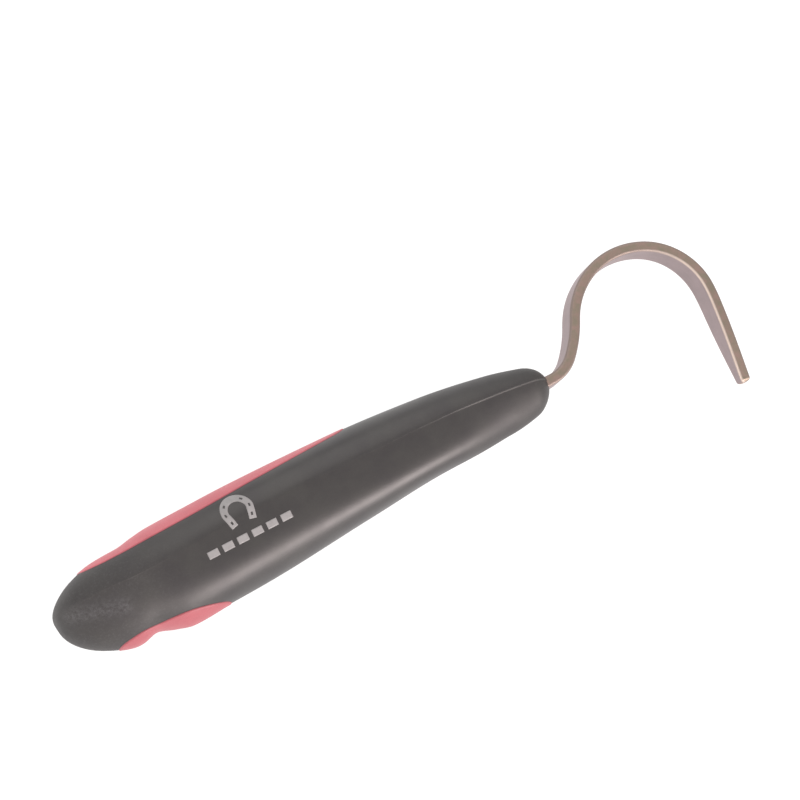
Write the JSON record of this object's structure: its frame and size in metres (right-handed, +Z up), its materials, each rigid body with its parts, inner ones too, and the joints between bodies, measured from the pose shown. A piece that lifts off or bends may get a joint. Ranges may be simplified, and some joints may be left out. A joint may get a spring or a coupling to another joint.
{
  "type": "hoof pick",
  "caption": "Hand hoof pick: a bent, tapered steel hook on a strip moulded into a faceted soft-grip handle with finger pads.",
  "frame": {"origin": "bottom centre of the whole tool's bounding box, with the tool lying on its side", "axes": "+X along the handle from its butt to the hook, +Y in the plane of the hook's bends and away from the hook's tip, +Z up, normal to that plane"},
  "size_m": [0.197, 0.048, 0.0237],
  "materials": {
    "steel": "tumbled, satin, with a slightly warm tint",
    "core_plastic": "moulded, hidden under the grip",
    "soft_grip": "charcoal soft-touch overmould, satin",
    "coral_soft": "coral soft-touch inserts, satin",
    "print": "pale grey pad print"
  },
  "bodies": {
    "root": {"hook": "steel", "handle_core": "core_plastic", "grip_body": "soft_grip", "top_pad": "coral_soft", "finger_pad": "coral_soft", "printed_mark": "print"}
  },
  "joints": []
}
